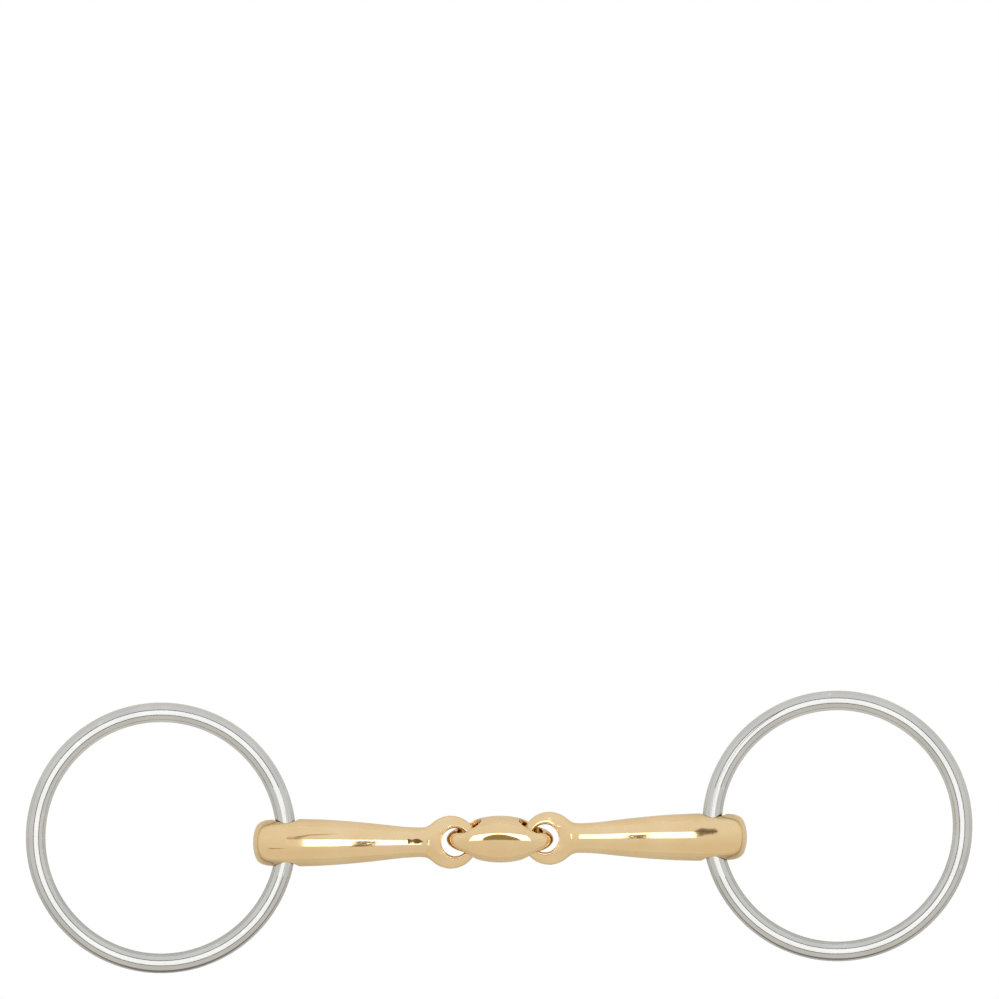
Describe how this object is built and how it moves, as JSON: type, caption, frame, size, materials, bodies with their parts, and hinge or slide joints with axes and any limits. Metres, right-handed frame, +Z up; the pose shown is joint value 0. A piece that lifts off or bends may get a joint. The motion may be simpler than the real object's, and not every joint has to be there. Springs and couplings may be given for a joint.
{
  "type": "snaffle bit",
  "caption": "Loose-ring, double-jointed snaffle bit: an oval link interlocked between tapered cannons, each swivelling on a round ring that takes cheekpiece and rein.",
  "frame": {"origin": "on the table the bit lies on, under the centre of the whole bit's bounding box", "axes": "+X along the mouthpiece towards the right ring, +Y across it in the plane of the table, +Z up off the table"},
  "size_m": [0.2878, 0.086, 0.0144],
  "materials": {
    "mouthpiece_alloy": "polished",
    "ring_steel": "polished"
  },
  "bodies": {
    "link": {"centre_link": "mouthpiece_alloy"},
    "left_cannon": {"cannon_left": "mouthpiece_alloy"},
    "right_cannon": {"cannon_right": "mouthpiece_alloy"},
    "left_ring": {"ring_left": "ring_steel"},
    "right_ring": {"ring_right": "ring_steel"}
  },
  "joints": [
    {"name": "swing_left", "type": "hinge", "parent": "link", "child": "left_cannon", "pos_m": [-0.01343, -0.00311, 0.00691], "axis": [0, 0, -1], "range_deg": [-60, 60]},
    {"name": "swing_right", "type": "hinge", "parent": "link", "child": "right_cannon", "pos_m": [0.01397, -0.00194, 0.00691], "axis": [0, 0, 1], "range_deg": [-60, 60]},
    {"name": "swivel_left", "type": "hinge", "parent": "left_cannon", "child": "left_ring", "pos_m": [-0.06483, -0.00328, 0.00719], "axis": [-0.0035, 1, 0], "range_deg": [-90, 90]},
    {"name": "swivel_right", "type": "hinge", "parent": "right_cannon", "child": "right_ring", "pos_m": [0.06536, -0.00153, 0.00719], "axis": [0.008, -1, 0], "range_deg": [-90, 90]}
  ]
}
